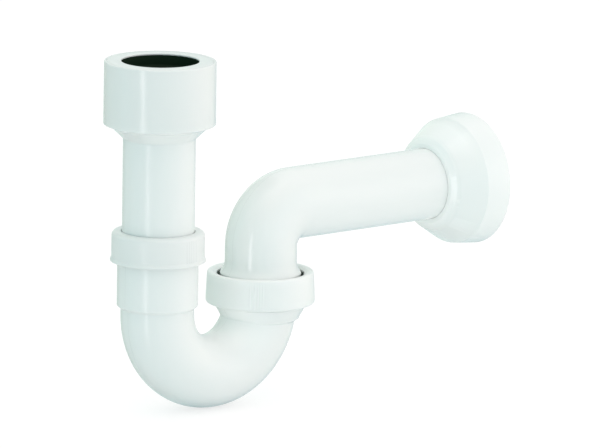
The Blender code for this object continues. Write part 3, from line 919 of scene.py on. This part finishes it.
# ------------------------------------------------------------------ world light
# A pale tent, brighter on the right and above, built from wide soft lobes, each
# (direction, power, colour).
TO_EYE = Vector((-math.sin(AZIMUTH), -math.cos(AZIMUTH), 0.0))
UP = Vector((0.0, 0.0, 1.0))
AMBIENT = (0.309, 0.466, 0.520)
LOBES = [
    (-UP, 1.5, (0.208, 0.283, 0.303)),
    (RIGHT + 0.15 * UP, 8.0, (0.893, 0.625, 0.588)),
    (RIGHT + 0.7 * TO_EYE + 0.3 * UP, 8.0, (0.765, 0.693, 0.683)),
    (RIGHT - 0.7 * TO_EYE + 0.2 * UP, 8.0, (0.733, 0.623, 0.428)),
    (RIGHT - 0.7 * UP, 6.0, (0.570, 0.404, 0.344)),
    (-RIGHT - TO_EYE, 4.0, (1.011, 0.981, 0.692)),
    (-RIGHT + 0.2 * UP, 6.0, (0.0, 0.230, 0.216)),
    (UP, 6.0, (1.140, 0.842, 0.798)),
    (UP + 0.7 * TO_EYE, 6.0, (0.674, 0.468, 0.342)),
    (UP - 0.8 * TO_EYE, 6.0, (0.470, 0.386, 0.354)),
    (TO_EYE, 4.0, (0.300, 0.413, 0.399)),
]
# Bearings run from the eye's side towards the left.  All angles here are degrees.
# A narrow upright light strip, which only shows in reflections, fades in over
# STRIP_FOOT and STRIP_HEAD, elevations from dark to full.
STRIP_BEARING, STRIP_HALF_WIDTH = 34.0, 3.4
STRIP_FOOT, STRIP_HEAD = (-35.0, -25.0), (14.0, 8.0)
STRIP_COLOUR = (5.0, 4.4, 4.6)
# A dark card behind on the left keeps that outline of the white plastic crisp.
CARD_BEARING, CARD_EDGE, CARD_SOFTNESS, CARD_DIM = 125.0, 35.0, 15.0, 0.75


def bearing_band(nt, flat, bearing, outer, inner):
    """1 within the inner angle of a bearing, fading to 0 at the outer angle."""
    turn = math.radians(bearing)
    aim = TO_EYE * math.cos(turn) - RIGHT * math.sin(turn)
    return mapped(nt, vector_node(nt, "DOT_PRODUCT", flat, aim), smooth=True,
                  span=(math.cos(math.radians(outer)), math.cos(math.radians(inner))))


def build_world():
    world = bpy.data.worlds.new("studio")
    scene.world = world
    world.use_nodes = True
    nt = world.node_tree
    nt.nodes.clear()
    output = nt.nodes.new("ShaderNodeOutputWorld")
    direction = nt.nodes.new("ShaderNodeTexCoord").outputs["Generated"]
    light_path = nt.nodes.new("ShaderNodeLightPath").outputs

    ambient = nt.nodes.new("ShaderNodeCombineXYZ")
    for i in range(3):
        ambient.inputs[i].default_value = AMBIENT[i]
    light = ambient.outputs[0]
    for aim, power, colour in LOBES:
        facing = vector_node(nt, "DOT_PRODUCT", direction, aim.normalized())
        lobe = math_node(nt, "POWER", math_node(nt, "MAXIMUM", facing, 0.0), power)
        light = vector_node(nt, "ADD", light, vector_node(nt, "SCALE", colour, scale=lobe))

    level = vector_node(nt, "MULTIPLY", direction, (1.0, 1.0, 0.0))
    flat = vector_node(nt, "NORMALIZE", level)
    height = separate(nt, vector_node(nt, "NORMALIZE", direction))["Z"]
    strip = bearing_band(nt, flat, STRIP_BEARING, outer=STRIP_HALF_WIDTH * 1.5,
                         inner=STRIP_HALF_WIDTH * 0.5)
    strip = math_node(nt, "MULTIPLY", strip, light_path["Is Glossy Ray"])
    for ends in (STRIP_FOOT, STRIP_HEAD):
        span = [math.sin(math.radians(end)) for end in ends]
        strip = math_node(nt, "MULTIPLY", strip, mapped(nt, height, span=span))
    light = vector_node(nt, "ADD", light,
                        vector_node(nt, "SCALE", STRIP_COLOUR, scale=strip))

    card = bearing_band(nt, flat, CARD_BEARING, outer=CARD_EDGE + CARD_SOFTNESS,
                        inner=CARD_EDGE - CARD_SOFTNESS)
    card = math_node(nt, "MULTIPLY", card, light_path["Is Glossy Ray"])
    dimmed = math_node(nt, "SUBTRACT", 1.0, math_node(nt, "MULTIPLY", card, CARD_DIM))
    light = vector_node(nt, "SCALE", light, scale=dimmed)

    # the camera itself sees plain white
    room = nt.nodes.new("ShaderNodeBackground")
    nt.links.new(light, room.inputs["Color"])
    white = nt.nodes.new("ShaderNodeBackground")
    set_inputs(white, {"Color": (1.0, 1.0, 1.0, 1.0)})
    choose = nt.nodes.new("ShaderNodeMixShader")
    nt.links.new(light_path["Is Camera Ray"], choose.inputs["Fac"])
    nt.links.new(room.outputs["Background"], choose.inputs[1])
    nt.links.new(white.outputs["Background"], choose.inputs[2])
    nt.links.new(choose.outputs["Shader"], output.inputs["Surface"])


build_world()
